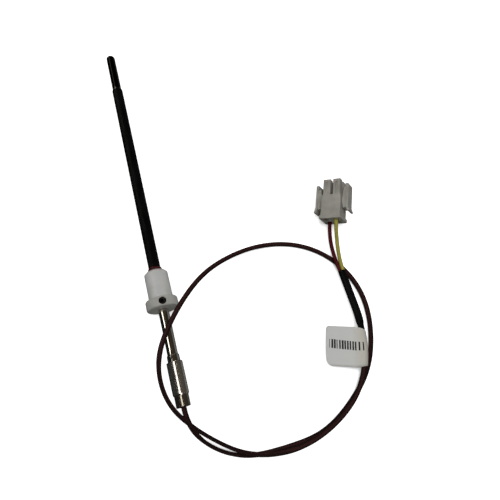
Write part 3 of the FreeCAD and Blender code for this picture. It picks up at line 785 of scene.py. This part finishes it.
def lead(name, side, knot, look, node):
    """A lead that bends at the sleeve's mouth and runs into its cavity."""
    right, ahead, up = connector_axes()
    entry = CONNECTOR_ORIGIN + (right + up) * (side * CAVITY_HALF_PITCH)
    inner = entry + ahead * LEAD_DEPTH
    offset = side * LEAD_OFFSET
    knots = [tail_point(distance, offset) for distance in (4.0, LEAD_BEND_START, -0.6)]
    knots += [knot, entry, inner]
    path = spline_through([tuple(point) for point in knots], 0.7)

    def size(i):
        free = smooth_step((path[i].y - MOUTH[1] - 0.5) / 3.0)
        return 1.0 + (LEAD_FREE_R / LEAD_R - 1) * free

    skin = sweep(name, path, circle(LEAD_R, 20), look, size=size)
    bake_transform(skin)
    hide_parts(node)


# Seal bead

def seal_bead(looks):
    """Silicone bead smeared round the sleeve's foot, uneven in height and width."""
    profile = [(3.5, 0.02), (4.6, 0.02), (4.82, 0.35), (4.75, 0.8), (4.4, 1.25), (4.15, 1.7), (4.0, 2.15),
               (3.8, 2.45), (3.5, 2.5)]
    count = 64
    vertices = []
    for j in range(count):
        turn = 2 * math.pi * j / count
        lump = wobble(math.cos(turn), math.sin(turn), 0.0, 1.7)
        for radius, height in profile:
            swell = 1 + 0.05 * lump * (radius - 3.5)
            lift = 1 + 0.10 * wobble(math.cos(turn), math.sin(turn), 5.0, 2.3)
            place = Vector((radius * swell * math.cos(turn), SEAL_FOOT_Y + height * lift,
                            radius * swell * math.sin(turn)))
            vertices.append(place * MM)
    size = len(profile)
    faces = []
    for j in range(count):
        k = (j + 1) % count
        for i in range(size - 1):
            faces.append((j * size + i, j * size + i + 1, k * size + i + 1, k * size + i))
    bead = make_piece("seal_bead", vertices, faces, looks["red_silicone"])
    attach(bead, "probe")
    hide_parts("seal_ring")


# Stage

def floor():
    """Pale floor: bright to the camera, with only a soft shadow."""
    size = FLOOR_HALF_SIZE
    corners = [(-size, -size), (size, -size), (size, size), (-size, size)]
    vertices = [(x, y, (FLOOR - FLOOR_GAP) * MM) for x, y in corners]
    look = Look("pale_floor", roughness=1.0)
    look.colour(look.ramp(look.cloud(3.0), [(0.0, (0.80, 0.80, 0.80)), (1.0, (0.84, 0.84, 0.84))]))
    look.set("Specular IOR Level", 0.0)
    rays = look.node("ShaderNodeLightPath")
    nearness = look.node("ShaderNodeAmbientOcclusion", samples=16)
    nearness.inputs["Distance"].default_value = 0.02
    open_sky = look.node("ShaderNodeMapRange")
    open_sky.inputs["From Min"].default_value = 0.25
    open_sky.inputs["From Max"].default_value = 0.58
    look.join(nearness.outputs["AO"], open_sky.inputs["Value"])
    to_camera = look.spread(rays.outputs["Is Camera Ray"], 0.0, 0.86)
    glow = look.sum("MULTIPLY", open_sky.outputs["Result"], to_camera)
    look.set("Emission Color", (1, 1, 1, 1))
    look.join(glow, look.shader.inputs["Emission Strength"])
    ground = make_piece("floor", vertices, [(0, 1, 2, 3)], look.material)
    ground.visible_glossy = False


def studio_world():
    """Even soft light for matt surfaces; a dark studio with a long strip of light for reflections."""
    world = bpy.data.worlds.new("studio")
    bpy.context.scene.world = world
    world.use_nodes = True
    tree = world.node_tree
    background = tree.nodes["Background"]
    rays = tree.nodes.new("ShaderNodeLightPath")
    coordinates = tree.nodes.new("ShaderNodeTexCoord")
    parts = tree.nodes.new("ShaderNodeSeparateXYZ")
    tree.links.new(coordinates.outputs["Generated"], parts.inputs["Vector"])
    angle = tree.nodes.new("ShaderNodeMath")
    angle.operation = "ARCTAN2"
    tree.links.new(parts.outputs["X"], angle.inputs[0])
    tree.links.new(parts.outputs["Z"], angle.inputs[1])
    around = tree.nodes.new("ShaderNodeMapRange")
    around.inputs["From Min"].default_value = -math.pi
    around.inputs["From Max"].default_value = math.pi
    tree.links.new(angle.outputs["Value"], around.inputs["Value"])
    strip = tree.nodes.new("ShaderNodeValToRGB")
    stops = [
        (0.0, (0.02, 0.02, 0.02)), (0.385, (0.012, 0.014, 0.010)), (0.393, (5.0, 4.8, 4.4)),
        (0.423, (5.0, 4.8, 4.4)), (0.430, (0.07, 0.052, 0.034)), (0.56, (0.055, 0.042, 0.028)),
        (0.69, (0.035, 0.028, 0.02)), (0.71, (0.012, 0.01, 0.008)), (0.74, (0.22, 0.22, 0.20)),
        (0.86, (0.20, 0.20, 0.19)), (0.88, (0.01, 0.01, 0.01)),
    ]
    fill_ramp(strip, stops)
    tree.links.new(around.outputs["Result"], strip.inputs["Fac"])
    choice = tree.nodes.new("ShaderNodeMix")
    choice.data_type = "RGBA"
    tree.links.new(rays.outputs["Is Glossy Ray"], choice.inputs[0])
    choice.inputs[6].default_value = (0.15, 0.15, 0.15, 1.0)
    tree.links.new(strip.outputs["Color"], choice.inputs[7])
    backdrop = tree.nodes.new("ShaderNodeMix")
    backdrop.data_type = "RGBA"
    tree.links.new(rays.outputs["Is Camera Ray"], backdrop.inputs[0])
    tree.links.new(choice.outputs[2], backdrop.inputs[6])
    backdrop.inputs[7].default_value = (1.0, 1.0, 1.0, 1.0)
    tree.links.new(backdrop.outputs[2], background.inputs["Color"])


def soft_light(name, place, aim, size, power):
    light = bpy.data.lights.new(name, "AREA")
    light.shape = "DISK"
    light.size = size
    light.energy = power
    lamp = bpy.data.objects.new(name, light)
    lamp.location = place
    direction = Vector(aim) - Vector(place)
    lamp.rotation_euler = direction.to_track_quat("-Z", "Y").to_euler()
    bpy.context.scene.collection.objects.link(lamp)
    lamp.visible_glossy = False


def camera():
    data = bpy.data.cameras.new("camera")
    data.lens = CAMERA_LENS
    data.sensor_width = 36.0
    data.clip_start = 0.01
    right = Vector(CAMERA_RIGHT).normalized()
    up = Vector(CAMERA_UP).normalized()
    back = right.cross(up).normalized()
    up = back.cross(right)
    turn = Matrix((right, up, back)).transposed().to_4x4()
    eye = bpy.data.objects.new("camera", data)
    eye.matrix_world = Matrix.Translation(Vector(CAMERA_PLACE)) @ turn
    bpy.context.scene.collection.objects.link(eye)
    bpy.context.scene.camera = eye


def stage():
    floor()
    studio_world()
    soft_light("key", (0.12, 0.01, 0.80), (0.08, 0.02, 0.0), 0.4, 4.1)
    bpy.context.scene.view_settings.view_transform = "Standard"
    camera()


def main():
    looks = make_looks()
    dress_nodes(looks)
    cable(looks)
    heat_shrink(looks)
    lead("lead_red_skin", -1, RED_LEAD_KNOT, looks["red_insulation"], "lead_red")
    lead("lead_yellow_skin", 1, YELLOW_LEAD_KNOT, looks["yellow_insulation"],
         "lead_yellow")
    label(looks)
    seal_bead(looks)
    stage()


main()
